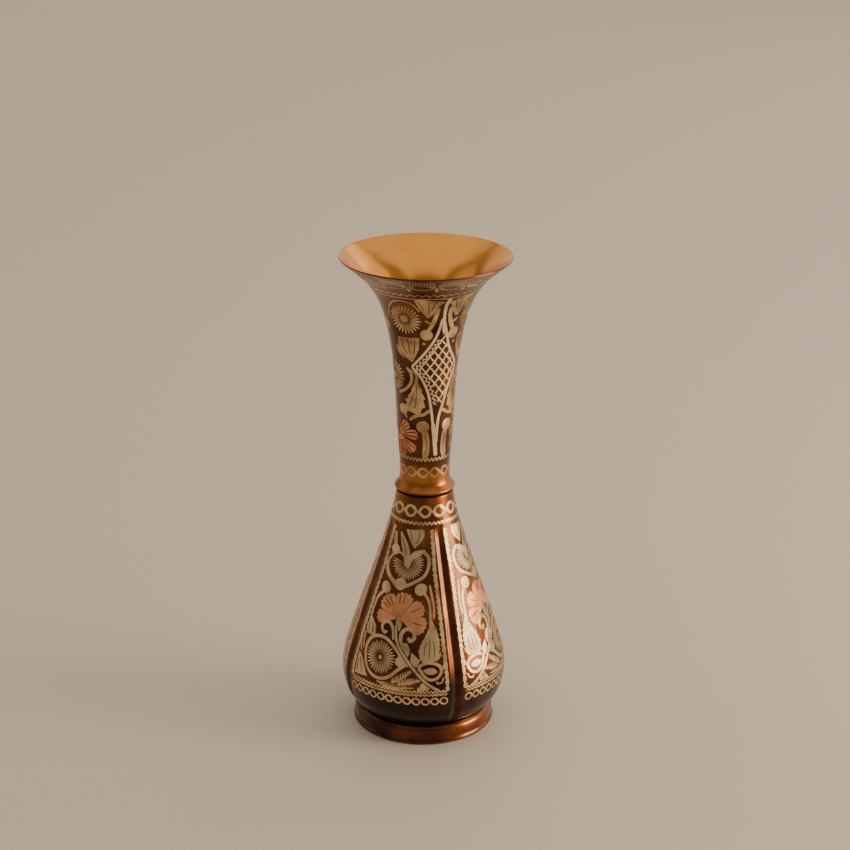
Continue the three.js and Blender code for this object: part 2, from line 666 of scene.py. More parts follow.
class Stencil:
    """Flat shapes that are cut through the lacquer, drawn in millimetres across and along the metal.

    Each shape is a grid of small faces, so that it can follow a turned surface. Its UV map holds the distance
    along the shape and the distance across it, for the graver's ridges. Where shapes overlap, the one with
    the higher lift shows.
    """

    SUNK = -0.18
    LEAF_LIFT = 0.05
    BALL_LIFT = 0.055
    STROKE_LIFT = 0.06
    WRIGGLE_LIFT = 0.065
    LINK_LIFT = 0.072
    UNDER_LIFT = 0.08
    PETAL_LIFT = 0.09
    OVER_LIFT = 0.115
    VEIN_LIFT = 0.14
    LIFT_STEP = 0.0007
    LIFT_STEPS = 31
    STROKE_FACE = 1.4
    LEAF_FACE = 1.6
    MERGE = 0.004
    BALL_STEPS = 10
    RING_STEPS = 20
    FAN_ROUNDING = 0.16
    FAN_FACE = 1.5
    COMB_SHIFT = 0.15
    LATTICE_STEP = 0.6
    LATTICE_STEPS = 70
    LATTICE_LINES = 15
    PETAL_FULLNESS = ((0.0, 0.17), (0.25, 0.22), (0.5, 0.26), (0.75, 0.29), (0.93, 0.24), (1.0, 0.03))

    def __init__(self) -> None:
        """Starts an empty drawing."""
        self.mesh = bmesh.new()
        self.ridges = self.mesh.loops.layers.uv.new("ridges")
        self.laid = 0

    def lay(self, left: Line, right: Line, lift: float = LEAF_LIFT, rows: int = 1) -> None:
        """Lays a strip of cut metal between two edges.

        Args:
            left: The points of one edge.
            right: The points of the other edge, as many as on the first.
            lift: The height of the strip's face above the metal.
            rows: How many faces wide the strip is.
        """
        last = len(left) - 1
        self.laid += 1
        height = lift + self.LIFT_STEP * (self.laid % self.LIFT_STEPS)  # no two shapes lie in one plane
        run = distances([a.lerp(b, 0.5) for a, b in zip(left, right)])
        made = bmesh.ops.create_grid(self.mesh, x_segments=last, y_segments=rows, size=0.5)["verts"]
        drawn = {}
        for vert in made:
            step = round((vert.co.x + 0.5) * last)
            share = vert.co.y + 0.5
            spot = left[step].lerp(right[step], share)
            vert.co = (spot.x, spot.y, height)
            drawn[vert] = (run[step], (share - 0.5) * (right[step] - left[step]).length)
        for face in {face for vert in made for face in vert.link_faces}:
            for loop in face.loops:
                loop[self.ridges].uv = drawn[loop.vert]

    def band(
        self, line: Line, half_widths: Sequence[float], lift: float = LEAF_LIFT, closed: bool = False
    ) -> None:
        """Lays a strip along a line, with its own half width at each point.

        Args:
            line: The middle of the strip.
            half_widths: Half its width at each point of the line.
            lift: The height of its face above the metal.
            closed: Whether the line's last point is its first one again.
        """
        out = sides(line, closed)
        left = [point + side * half for point, side, half in zip(line, out, half_widths)]
        right = [point - side * half for point, side, half in zip(line, out, half_widths)]
        rows = max(1, round(2 * max(half_widths) / self.STROKE_FACE))
        self.lay(left, right, lift, rows)

    def stroke(
        self,
        points: Points,
        width: float,
        ends: tuple[float, float] = (0.4, 0.4),
        lift: float = STROKE_LIFT,
        steps: int = 6,
    ) -> None:
        """Cuts one smooth stroke.

        Args:
            points: A few points that the stroke passes through.
            width: Its width in the middle.
            ends: The share of that width left at its two ends.
            lift: The height of its face above the metal.
            steps: How many pieces each span is divided into.
        """
        line = smooth_line(points, steps)
        run = distances(line)
        halves = []
        for at in run:
            start = ends[0] + (1 - ends[0]) * min(at / width, 1.0) ** 0.6
            stop = ends[1] + (1 - ends[1]) * min((run[-1] - at) / width, 1.0) ** 0.6
            halves.append(width / 2 * min(start, stop))
        self.band(line, halves, lift)

    def loop(self, points: Points, width: float) -> None:
        """Cuts a stroke that closes on itself.

        Args:
            points: A few points that the stroke passes through.
            width: Its width.
        """
        line = smooth_line(points, 6, closed=True)
        self.band(line, [width / 2] * len(line), self.STROKE_LIFT, closed=True)

    def leaf(
        self,
        spine: Points,
        left: Sequence[float],
        right: Sequence[float] | None = None,
        teeth: int = 0,
        bite: float = 0.25,
        lift: float = LEAF_LIFT,
        steps: int = 8,
    ) -> None:
        """Cuts a leaf, petal or any other filled shape about a spine.

        Args:
            spine: A few points from its root to its tip.
            left: Its widths to the left of the spine, evenly spaced from root to tip.
            right: Its widths to the right, the same as to the left if not given.
            teeth: How many teeth each edge has.
            bite: How deep they are, as a share of the width.
            lift: The height of its face above the metal.
            steps: How many pieces each span of the spine is divided into.
        """
        span = max(steps, math.ceil(5 * teeth / (len(spine) - 1)))
        line = smooth_line(spine, span)
        out = sides(line)
        run = distances(line)
        widths = []
        for side in (left, right or left):
            widths.append([knot.y for knot in smooth_line([(0.0, width) for width in side], 4)])
        edges: tuple[list[Vector], list[Vector]] = ([], [])
        for point, side, at in zip(line, out, run):
            share = at / run[-1]
            tooth = 1 - bite * ((share * teeth) % 1.0) if teeth else 1.0
            edges[0].append(point + side * between(widths[0], share) * tooth)
            edges[1].append(point - side * between(widths[1], share) * tooth)
        widest = max((a - b).length for a, b in zip(*edges))
        self.lay(edges[0], edges[1], lift, max(2, round(widest / self.LEAF_FACE)))

    def comb(self, points: Points, teeth: int, reach: float, lean: float, width: float) -> None:
        """Cuts a spine with a row of slanting teeth on one side, as on a fern.

        Args:
            points: A few points of the spine, from its root to its tip.
            teeth: How many teeth there are.
            reach: The length of the longest tooth, to the left of the spine, or to its right if negative.
            lean: The angle between a tooth and the spine, in degrees.
            width: The width of a tooth.
        """
        self.stroke(points, width * 1.2, (0.6, 0.3))
        line = smooth_line(points, 12)
        run = distances(line)
        for tooth in range(teeth):
            share = (tooth + 0.5) / teeth
            i = min(range(len(run)), key=lambda at: abs(run[at] - share * run[-1]))
            along = (line[min(i + 1, len(line) - 1)] - line[max(i - 1, 0)]).normalized()
            turn = math.copysign(math.radians(lean), reach)
            way = Matrix.Rotation(turn, 2) @ along
            length = abs(reach) * (0.55 + 0.45 * math.sin(math.pi * min(1.0, share + self.COMB_SHIFT)))
            self.stroke([line[i], line[i] + way * length], width, (1.0, 0.35), steps=3)

    def ball(self, centre: Sequence[float], radius: float) -> None:
        """Cuts a round spot.

        Args:
            centre: Its middle.
            radius: Its radius.
        """
        middle = Vector(centre)
        angles = [math.pi * step / self.BALL_STEPS for step in range(self.BALL_STEPS + 1)]
        left = [middle + Vector((-math.cos(a), math.sin(a))) * radius for a in angles]
        right = [middle + Vector((-math.cos(a), -math.sin(a))) * radius for a in angles]
        self.lay(left, right, self.BALL_LIFT, max(2, round(2 * radius / self.STROKE_FACE)))

    def ring(self, centre: Sequence[float], radius: float, width: float) -> None:
        """Cuts a round line.

        Args:
            centre: Its middle.
            radius: The radius to the middle of the line.
            width: The line's width.
        """
        middle = Vector(centre)
        points = [middle + heading(360 * step / self.RING_STEPS) * radius for step in range(self.RING_STEPS)]
        points.append(points[0])
        self.band(points, [width / 2] * len(points), self.STROKE_LIFT, closed=True)

    def fan(
        self,
        centre: Sequence[float],
        near: float,
        reach: float,
        sweep: tuple[float, float],
        teeth: int,
        bite: float = 0.06,
    ) -> None:
        """Cuts one broad petal with a toothed outer edge.

        Args:
            centre: The point that the petal opens from.
            near: The distance from there to its inner edge.
            reach: The distance to its outer edge.
            sweep: The angles of its two sides in degrees, anticlockwise from straight across.
            teeth: How many teeth its outer edge has.
            bite: How deep they are, as a share of the reach.
        """
        middle = Vector(centre)
        steps = teeth * 4
        inner, outer = [], []
        for step in range(steps + 1):
            share = step / steps
            way = heading(sweep[0] + (sweep[1] - sweep[0]) * share)
            rounding = 1 - self.FAN_ROUNDING * abs(2 * share - 1) ** 3
            tooth = 1 - bite * abs(((share * teeth) % 1.0) * 2 - 1)
            inner.append(middle + way * near)
            outer.append(middle + way * reach * rounding * tooth)
        self.lay(outer, inner, rows=max(4, round(reach / self.FAN_FACE)))

    def rosette(
        self,
        centre: Sequence[float],
        hub: float,
        reach: float,
        petals: int,
        sweep: tuple[float, float] = (0.0, 360.0),
    ) -> None:
        """Cuts a ring of narrow petals about a plain hub.

        Args:
            centre: Its middle.
            hub: The radius where the petals start.
            reach: The radius where they end.
            petals: How many petals there are in the sweep.
            sweep: The angles of the first and the last petal, in degrees.
        """
        middle = Vector(centre)
        step = (sweep[1] - sweep[0]) / petals
        spread = math.radians(step)
        for i in range(petals):
            way = heading(sweep[0] + step * (i + 0.5))
            end = reach * (1.0 if i % 2 else 0.95)
            widths = [full * spread * (hub + (end - hub) * share) for share, full in self.PETAL_FULLNESS]
            self.leaf([middle + way * hub, middle + way * end], widths, steps=7)

    def wriggle(self, points: Points, pitch: float, depth: float, width: float) -> None:
        """Cuts a wriggled line, as a rocked graver leaves it.

        Args:
            points: A few points that the line follows.
            pitch: The length of one whole wriggle.
            depth: The height of a wriggle, from peak to hollow.
            width: The width of the line.
        """
        path = smooth_line(points, 12)
        out = sides(path)
        run = distances(path)
        half_steps = max(2, round(2 * run[-1] / pitch))
        peaks = []
        for i in range(half_steps + 1):
            at = run[-1] * i / half_steps
            near = min(range(len(run)), key=lambda k: abs(run[k] - at))
            other = min(near + 1, len(run) - 1) if run[near] <= at else near - 1
            gap = run[other] - run[near]
            spot = path[near].lerp(path[other], (at - run[near]) / gap) if gap else path[near]
            peaks.append(spot + out[near] * depth / 2 * (1 if i % 2 else -1))
        line = [a.lerp(b, t / 2) for a, b in zip(peaks, peaks[1:]) for t in range(2)] + [peaks[-1]]
        self.band(line, [width / 2] * len(line), self.WRIGGLE_LIFT)

    def scroll_chain(
        self, start: float, pitch: float, count: int, arc: float, radius: float, width: float
    ) -> None:
        """Cuts a running chain of rings, each joined to the next by a slanting stroke.

        Args:
            start: Where the first ring's middle is, across.
            pitch: The distance from ring to ring.
            count: How many rings there are.
            arc: Where the chain is, along.
            radius: The radius of a ring.
            width: The width of its line.
        """
        for i in range(count):
            middle = start + pitch * i
            self.ring((middle, arc), radius, width)
            if i < count - 1:
                ahead = middle + pitch
                ways = ((0.1, 0.95), (0.95, 0.35))
                link = [(middle + radius * x, arc + radius * y) for x, y in ways]
                link += [(ahead - radius * x, arc - radius * y) for x, y in reversed(ways)]
                self.stroke(link, width, lift=self.LINK_LIFT)

    def lattice(
        self, left: Points, right: Points, slopes: Sequence[float], pitch: float, width: float
    ) -> None:
        """Cuts crossing strokes between two edges.

        Args:
            left: The left edge, from its lower end up.
            right: The right edge, from its lower end up.
            slopes: The angles of the strokes in degrees.
            pitch: The distance from stroke to stroke.
            width: The width of a stroke.
        """
        edges = [smooth_line(edge, 6) for edge in (left, right)]
        low, high = edges[0][0].y, edges[0][-1].y
        middle = sum((edge[len(edge) // 2] for edge in edges), Vector((0, 0))) / 2

        def within(point: Vector) -> bool:
            """Says whether a point is between the edges."""
            sides_there = [across_at(edge, point.y) for edge in edges]
            return low < point.y < high and sides_there[0] < point.x < sides_there[1]

        for slope in slopes:
            way = heading(slope)
            side = Vector((-way.y, way.x)) * pitch
            for i in range(-self.LATTICE_LINES, self.LATTICE_LINES + 1):
                stretch = range(-self.LATTICE_STEPS, self.LATTICE_STEPS + 1)
                line = [middle + side * i + way * step * self.LATTICE_STEP for step in stretch]
                for inside, group in itertools.groupby(line, key=within):
                    points = list(group)
                    if inside and len(points) > 3:
                        halves = [width * (0.5 + 0.22 * math.sin(2.1 * k + i)) for k in range(len(points))]
                        self.band(points, halves)

    def piece(self, surface: TurnedSurface, places: Places, name: str, finish: Finish) -> None:
        """Gives the drawing thickness and lays it on the metal.

        Args:
            surface: The turned surface that it lies on.
            places: For each copy, the angle to the drawing's middle, and 1, or -1 for a mirrored copy.
            name: The new piece's name.
            finish: Its finish.
        """
        slab = self.mesh
        bmesh.ops.remove_doubles(slab, verts=slab.verts, dist=self.MERGE)
        under = bmesh.ops.extrude_face_region(slab, geom=slab.faces[:], use_keep_orig=True)["geom"]
        for vert in (item for item in under if isinstance(item, bmesh.types.BMVert)):
            vert.co.z = self.SUNK
        whole = bmesh.new()
        for facing, hand in places:
            copy = slab.copy()
            for vert in copy.verts:
                vert.co = surface.place(hand * vert.co.x, vert.co.y, vert.co.z, facing)
            laid = bpy.data.meshes.new(name)
            copy.to_mesh(laid)
            copy.free()
            whole.from_mesh(laid)
            bpy.data.meshes.remove(laid)
        bmesh.ops.recalc_face_normals(whole, faces=whole.faces)
        finish_piece(whole, name, [finish])


def around(count: int, start: float = 0.0) -> list[tuple[float, int]]:
    """Spaces copies evenly round the axis.

    Args:
        count: How many copies there are.
        start: The angle of the first one.

    Returns:
        The place of each copy.
    """
    return [(start + math.tau * i / count, 1) for i in range(count)]


@dataclass
class Drawing:
    """One engraved field: pale cuts, copper petals, and brown veins left standing on the cuts."""

    OUTLINE = 0.45

    cuts: Stencil = field(default_factory=Stencil)
    copper: Stencil = field(default_factory=Stencil)
    veins: Stencil = field(default_factory=Stencil)
    cut_finish: Finish = Finish.CUT

    def outlined(self, points: Points, width: float, ends: tuple[float, float] = (0.5, 0.5)) -> None:
        """Cuts a stroke that passes over other cuts, with a brown line left standing on both its sides.

        Args:
            points: A few points that the stroke passes through.
            width: Its width in the middle.
            ends: The share of that width left at its two ends.
        """
        self.veins.stroke(points, width + 2 * self.OUTLINE, ends, lift=Stencil.UNDER_LIFT)
        self.cuts.stroke(points, width, ends, lift=Stencil.OVER_LIFT)

    def vein(self, *points: Sequence[float], width: float = 0.36) -> None:
        """Leaves a fine brown line standing on a cut, through a few points."""
        self.veins.stroke(points, width, (0.3, 0.3), lift=Stencil.VEIN_LIFT)

    def lay_on(self, surface: TurnedSurface, places: Places, name: str) -> None:
        """Lays the field on the metal.

        Args:
            surface: The turned surface that it lies on.
            places: For each copy, the angle to the field's middle, and 1, or -1 for a mirrored copy.
            name: The name that its pieces start with.
        """
        kinds = (("cuts", self.cut_finish), ("copper", Finish.COPPER), ("veins", Finish.LACQUER))
        for kind, finish in kinds:
            stencil = getattr(self, kind)
            if stencil.mesh.faces:
                stencil.piece(surface, places, f"{name}_{kind}", finish)


# ----------------------------------------------------------------------------------------
# The vase's own pieces
# ----------------------------------------------------------------------------------------


@dataclass
class Foot:
    """The spun foot, the disc that closes the body, and the solder that holds them together."""

    segments: int = 192
    disc_segments: int = 96
    disc_rings: int = 40
    disc_ring_depth: float = 0.05
    fillet_segments: int = 160
    fillet_sides: int = 10
    fillet_inside: float = 28.4
    fillet_half_height: float = 0.36
    fillet_lumps: tuple[tuple[int, float, float], ...] = ((9, 0.006, 0.0), (23, 0.004, 1.0))
    lip: Outline = (
        (35.8, 0.0), (36.5, 0.9), (36.4, 1.8), (35.9, 3.2), (35.9, 6.3),
        (35.3, 8.5), (34.0, 9.8),
    )
    inside: Outline = (
        (32.4, 8.8), (30.2, 7.9), (30.2, 7.1), (32.6, 7.95), (33.7, 8.7),
        (34.6, 7.8), (35.1, 6.1), (35.1, 3.2), (34.6, 1.6), (34.2, 0.0),
    )

    def build(self) -> None:
        """Makes the foot's three pieces."""
        outside = smooth_line(self.lip, 8)
        section = outside + [Vector(point) for point in self.inside]
        finish_piece(turned_piece(section, self.segments), "spun_foot", [Finish.LACQUER], ["foot_ring"])
        self.base_disc()
        self.fillet()

    def base_disc(self) -> None:
        """Makes the disc that closes the body, with the rings that the lathe left on it."""
        low, high = (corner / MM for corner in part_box("base_disc"))
        section = []
        for ring in range(self.disc_rings):
            height = low.z + self.disc_ring_depth * (ring % 2)
            section.append(Vector((high.x * (1 - ring / self.disc_rings), height)))
        section += [Vector((0.0, low.z)), Vector((0.0, high.z)), Vector((high.x, high.z))]
        mesh = turned_piece(section, self.disc_segments)
        finish_piece(mesh, "turned_base_disc", [Finish.BARE], ["base_disc"], crease_degrees=60.0)

    def fillet(self) -> None:
        """Makes the lumpy fillet of solder round the disc."""
        low, high = (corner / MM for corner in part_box("foot_solder"))
        middle = Vector(((high.x + self.fillet_inside) / 2, (low.z + high.z) / 2))
        half = (high.x - self.fillet_inside) / 2
        section = []
        for step in range(self.fillet_sides):
            way = heading(360 * step / self.fillet_sides)
            section.append(middle + Vector((half * way.x, self.fillet_half_height * way.y)))
        mesh = turned_piece(section, self.fillet_segments)
        for vert in mesh.verts:
            turn = math.atan2(vert.co.x, -vert.co.y)
            swell = 1 + sum(size * math.sin(count * turn + start) for count, size, start in self.fillet_lumps)
            vert.co = Vector((vert.co.x * swell, vert.co.y * swell, vert.co.z))
        finish_piece(mesh, "solder_fillet", [Finish.SOLDER], ["foot_solder"])


@dataclass(frozen=True)
class WaistJoint:
    """The brass sleeve inside the waist, and the stained solder that shows in the gap over the body."""

    segments: int = 128
    sleeve_wall: float = 0.8
    seam_wall: float = 0.6
    bevel_share: float = 0.2

    def build(self) -> None:
        """Makes the two rings."""
        self.ring("joint_sleeve", "plain_joint_sleeve", self.sleeve_wall, Finish.BARE)
        self.ring("waist_solder", "waist_solder_seam", self.seam_wall, Finish.STAINED_SOLDER)

    def ring(self, node: str, name: str, wall: float, finish: Finish) -> None:
        """Makes a ring with rounded edges.

        Args:
            node: The CAD node that it stands for, which gives its outer radius and its two ends.
            name: The new piece's name.
            wall: The thickness of its wall.
            finish: Its finish.
        """
        low, high = (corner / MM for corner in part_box(node))
        bevel = wall * self.bevel_share
        outside = [Vector((high.x, low.z + bevel)), Vector((high.x, high.z - bevel))]
        section = sheet_section(outside, wall, 2)
        finish_piece(turned_piece(section, self.segments), name, [finish], [node], crease_degrees=50.0)


@dataclass
class Body:
    """The pear-shaped body with its four flutes, and the flowers engraved on its four panels.

    Drawn points are distances across from the middle of a panel, and distances up the metal from the base.
    """

    sheet: float = 0.8
    segments: int = 256
    points: Outline = (
        (27.5, 0.0), (31.0, 0.7), (34.2, 2.8), (37.6, 6.5), (40.7, 12.3),
        (42.2, 21.1), (41.5, 30.1), (38.9, 39.6), (34.9, 52.1), (30.2, 66.1),
        (25.4, 80.1), (21.1, 93.1), (17.8, 104.1), (15.7, 112.6), (14.5, 119.7),
    )
    flutes: Flutes = field(default_factory=Flutes)
    border_insets: Outline = ((4.9, 31.0), (4.7, 60.0), (4.5, 95.0), (3.8, 105.0), (3.4, 116.0))
    border_ends: tuple[float, float] = (32.2, 114.7)
    border_steps: int = 60
    waist_rings: int = 13
    waist_ring_arc: float = 124.0
    waist_ring_turn_degrees: float = -5.0
    waist_waves: int = 48
    waist_wave_arc: float = 117.8

    @cached_property
    def surface(self) -> TurnedSurface:
        """The body's outside."""
        return TurnedSurface(self.points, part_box("body_shell")[0].z / MM, self.flutes)

    def build(self) -> None:
        """Makes the fluted shell."""
        mesh = turned_piece(sheet_section(self.surface.outline, self.sheet), self.segments)
        for vert in mesh.verts:
            even = math.atan2(vert.co.x, -vert.co.y)
            turn = self.flutes.crowd(even)
            radius = math.hypot(vert.co.x, vert.co.y) / MM
            radius -= self.flutes.sink(turn, radius, vert.co.z / MM)
            vert.co = Vector((radius * math.sin(turn), -radius * math.cos(turn), vert.co.z / MM)) * MM
        finish_piece(mesh, "fluted_body", [Finish.LACQUER], ["body_shell"])

    def dress(self) -> None:
        """Engraves the four panels and the band round the waist."""
        for panel in range(self.flutes.count):
            facing = math.tau * panel / self.flutes.count
            hand = 1 if panel % 2 == 0 else -1
            flowers, border = Drawing(), Drawing()
            for draw in (self.top_flower, self.carnation, self.round_flower, self.right_leaves, self.ferns):
                draw(flowers)
            flowers.lay_on(self.surface, [(facing, hand)], f"panel_{panel + 1}")
            self.border(border)
            border.lay_on(self.surface, [(facing, 1)], f"panel_{panel + 1}_border")
        self.waist_band()

    def border(self, drawing: Drawing) -> None:
        """Draws the wriggled borders at a panel's sides, and the rows and rings under it."""
        cut = drawing.cuts
        insets = [Vector(point) for point in self.border_insets]
        low, high = self.border_ends
        for side in (-1, 1):
            line = []
            for step in range(self.border_steps + 1):
                arc = low + (high - low) * step / self.border_steps
                middle = self.surface.radius_at(arc) * math.pi / self.flutes.count - across_at(insets, arc)
                line.append(Vector((side * middle, arc)))
            cut.band(line, [0.8 + 0.25 * math.sin(i * 2.1) for i in range(len(line))])
            for start in line[1:-1:2]:
                cut.stroke([start, start + Vector((-side * 1.5, 0.7))], 1.0, (1.0, 0.3), steps=2)
                cut.stroke([start, start + Vector((side * 1.1, -0.5))], 0.9, (1.0, 0.3), steps=2)
        cut.wriggle([(-27.6, 32.3), (27.9, 32.3)], 2.1, 1.4, 0.8)
        cut.wriggle([(-27.6, 30.6), (27.9, 30.6)], 2.1, 0.9, 0.75)
        cut.scroll_chain(-26.2, 4.76, 12, 27.0, 1.85, 0.85)

    def waist_band(self) -> None:
        """Engraves the running scroll and the wriggled line round the waist."""
        chain, arc = Stencil(), self.waist_ring_arc
        pitch = math.tau * self.surface.radius_at(arc) / self.waist_rings
        chain.scroll_chain(0.0, pitch, 2, arc, 2.65, 1.2)
        places = around(self.waist_rings, math.radians(self.waist_ring_turn_degrees))
        chain.piece(self.surface, places, "waist_scrolls", Finish.CUT)
        line, arc = Stencil(), self.waist_wave_arc
        half = math.pi * self.surface.radius_at(arc) / self.waist_waves
        line.stroke([(-half, arc - 0.6), (0, arc + 0.7), (half, arc - 0.6)], 0.95, (1.0, 1.0))
        line.piece(self.surface, around(self.waist_waves), "waist_wriggle", Finish.CUT)

    def top_flower(self, drawing: Drawing) -> None:
        """Draws the flower at the top of a panel, in its heart-shaped frame, with the leaves above it."""
        cut = drawing.cuts
        widths = ([0.2, 1.4, 2.6, 3.6, 4.6], [0.2, 2.6, 4.4, 5.0, 4.6])
        cut.leaf([(2.8, 105.2), (2.2, 110), (1.8, 114.6)], *widths)
        cut.leaf([(-0.5, 98.2), (-1.8, 104), (-5.6, 112.4)], [1.5, 1.9, 1.9, 1.4, 0.5])
        cut.leaf([(0.3, 98.2), (3.5, 102.0), (8.4, 104.4)], [1.2, 1.4, 1.6, 1.2, 0.3])
        cut.leaf([(0.4, 94.6), (-0.1, 97.6), (-0.6, 100)], [0.3, 1.5, 2.0, 1.8, 1.2])
        cut.ball((-7.8, 103.0), 2.7)
        cut.stroke([(-7.9, 104.5), (-8.7, 108), (-8.8, 111.8)], 2.2, (1.0, 0.6))
        cut.rosette((0, 97.3), 2.6, 9.0, 24, (-192, 42))
        upper_left = [(-2, 100.2), (-5, 102), (-8.6, 100.4), (-11.3, 97), (-12, 93.4)]
        lower_left = [(-11.8, 96.5), (-12, 93), (-10.3, 89.8), (-7, 87), (-3.2, 84.4), (-0.6, 84.6)]
        right = [(6.6, 104.6), (10.2, 100.8), (10.9, 96), (9.4, 91.6), (5.6, 88.6), (0.2, 85.5)]
        cut.stroke(upper_left, 1.2, (0.5, 1.0))
        cut.stroke(lower_left, 2.3, (0.6, 0.6))
        cut.stroke(right, 1.7, (0.5, 0.9))
        cut.leaf([(-3.2, 84), (-2.3, 86.5), (-1.4, 89.4)], [1.2, 2.8, 3.2, 2.6, 0.8])
        cut.ball((-10.8, 82.8), 3.0)
        cut.stroke([(-11.5, 81), (-15.6, 76.5), (-17.6, 71), (-18.6, 66.5)], 1.5, (0.9, 0.5))
        cut.ball((8.5, 84.6), 3.15)
        cut.stroke([(10.2, 83.2), (13.4, 78.4), (15.0, 71.5), (15.7, 65)], 1.3, (0.9, 0.5))
        drawing.copper.stroke([(12.6, 87), (14.6, 81), (16.3, 75.5), (16.9, 69.5)], 1.2, (0.4, 0.4))
        drawing.vein((1.2, 108.5), (0.3, 111.5), (-0.6, 114.2))
        drawing.vein((3.6, 107.5), (4.4, 110.5), (4.6, 114.2))
        drawing.vein((-1.2, 101), (-2.6, 105.5), (-4.6, 110.2))

    def carnation(self, drawing: Drawing) -> None:
        """Draws the copper carnation in the middle of a panel, with the two curls under it."""
        hub = (-1.0, 69.2)
        petals = ((205, 170, 13.9, 4), (168, 107, 13.6, 6), (105, 55, 13.5, 5))
        petals += ((53, 8, 14.2, 5), (7, -37, 15.3, 5))
        for start, end, reach, teeth in petals:
            drawing.copper.fan(hub, 1.2, reach, (start, end), teeth)
        cut = drawing.cuts
        veins = ((150, 12), (138, 12.4), (124, 12.2), (94, 12.6), (80, 12.8), (30, 12.5), (-12, 13))
        for angle, reach in veins:
            drawing.vein(Vector(hub) + heading(angle) * 7, Vector(hub) + heading(angle) * reach, width=0.4)
        lift = Stencil.UNDER_LIFT
        cut.leaf([(-0.1, 62.6), (-0.7, 66), (-1, 70)], [0.3, 1.3, 1.6, 1.3, 0.6], lift=lift)
        cut.stroke([(-3.6, 79.8), (-2.4, 75), (-1.2, 70.5)], 0.7, lift=lift)
        left_curl = [(-2.7, 57.6), (-3.1, 62), (-5.3, 65.8), (-8.6, 65.8)]
        left_curl += [(-10.1, 63), (-8.6, 60.6), (-6.6, 61.2)]
        cut.stroke(left_curl, 1.7)
        right_curl = [(2.5, 54), (1.3, 58), (1.6, 62), (4.2, 64.3)]
        right_curl += [(7.6, 63), (8.2, 59.8), (6.3, 58.4), (4.9, 59.9)]
        cut.stroke(right_curl, 2.0, (0.9, 0.8))
        cut.leaf([(5.0, 48.6), (4.4, 52.5), (3.7, 57)], [0.3, 1.8, 2.4, 2.0, 1.0])
        stem = [(-1.9, 66), (-1.7, 62), (-0.9, 58), (1.2, 54), (5, 49.3)]
        stem += [(10, 43.7), (16, 37.8), (21, 34.3), (24, 32.8)]
        drawing.outlined(stem, 1.35)

    def round_flower(self, drawing: Drawing) -> None:
        """Draws the large round flower at the lower left of a panel, in its drop-shaped frame."""
        cut = drawing.cuts
        cut.rosette((-9, 47.4), 1.9, 8.9, 30)
        cut.ball((-9, 47.4), 1.1)
        frame_line = [(5, 46.4), (1.5, 51), (-2.5, 55), (-7, 57.7), (-12, 57.7), (-16.3, 55.3), (-18.9, 50.5)]
        frame_line += [(-18.7, 45), (-16.5, 40), (-12, 37), (-7, 36.9), (-2.5, 39), (1.2, 42.6)]
        cut.loop(frame_line, 1.7)
        cut.leaf([(-0.2, 46.8), (3.5, 47), (7.6, 45.2)], [1.2, 2.9, 2.4, 1.2, 0.2])
        widths = ([5.0, 3.4, 2.4, 1.2, 0.2], [6.0, 5.0, 3.8, 2.2, 0.2])
        cut.leaf([(-22, 34.6), (-22.8, 40), (-24, 46.4)], *widths, 4, 0.14)
        widths = ([2.6, 4.0, 3.2, 1.4, 0.2], [3.2, 4.0, 3.2, 1.3, 0.2])
        cut.leaf([(-17.4, 56.8), (-17.4, 61), (-19, 67.4)], *widths, 3, 0.16)
        cut.stroke([(-22.8, 47), (-24, 54), (-23.2, 61), (-20.8, 67)], 1.2)
        cut.stroke([(-21, 48.5), (-21.6, 53), (-21, 57.5)], 1.0)
        drawing.vein((-20.5, 36), (-21.5, 40), (-22.8, 43.5))
        drawing.vein((-24.3, 36), (-24.2, 39), (-24, 42))
        drawing.vein((-16.4, 57.5), (-16.2, 60), (-17, 63))
        drawing.vein((-19, 57.8), (-19.2, 60.5), (-19.3, 63.5))

    def right_leaves(self, drawing: Drawing) -> None:
        """Draws the leaves and the paisley at the lower right of a panel."""
        cut = drawing.cuts
        widths = ([3.4, 5.6, 3.9, 1.5, 0.2], [4.6, 5.8, 5.2, 3.2, 0.4])
        cut.leaf([(17, 48), (16.3, 56), (15.9, 69)], *widths, 8, 0.14)
        cut.leaf([(11, 45.3), (9.6, 48.5), (7.6, 52.6)], [0.6, 2.0, 1.9, 1.0, 0.1])
        cut.stroke([(11.4, 47.4), (13.3, 50.6)], 1.0, (0.9, 0.3))
        paisley = [(12.3, 45.2), (14.6, 47), (18.4, 47.4), (22.6, 45.8), (24, 42.8)]
        paisley += [(22.6, 39.8), (19.3, 38.8), (16, 40.2), (13.7, 43)]
        cut.loop(paisley, 1.5)
        cut.leaf([(14.6, 43.7), (18, 43.2), (21.8, 42.7)], [0.1, 1.3, 1.8, 1.6, 0.5])
        cut.stroke([(25.4, 39.6), (24.8, 37.2), (22.6, 36.8), (22.2, 38)], 0.9)
        cut.leaf([(15.2, 32.8), (15.4, 35), (15, 37.4)], [0.8, 1.6, 1.6, 0.4])
        cut.ball((13.5, 33.7), 1.2)
        cut.ball((17.6, 34.3), 1.2)
        copper = drawing.copper
        lift = Stencil.PETAL_LIFT
        copper.leaf([(20.8, 48.7), (21.8, 50.4), (22.6, 52.6)], [0.5, 0.9, 0.8, 0.2], lift=lift)
        copper.leaf([(24.6, 43.5), (25.2, 45.4), (24.9, 47.5)], [0.3, 0.7, 0.6, 0.2], lift=lift)
        drawing.vein((16.9, 49.5), (16.6, 54), (16.2, 60))
        drawing.vein((14.2, 51), (14.2, 54.5), (14.8, 58.5))
        drawing.vein((19.4, 50), (19.2, 54), (18.2, 58.5))

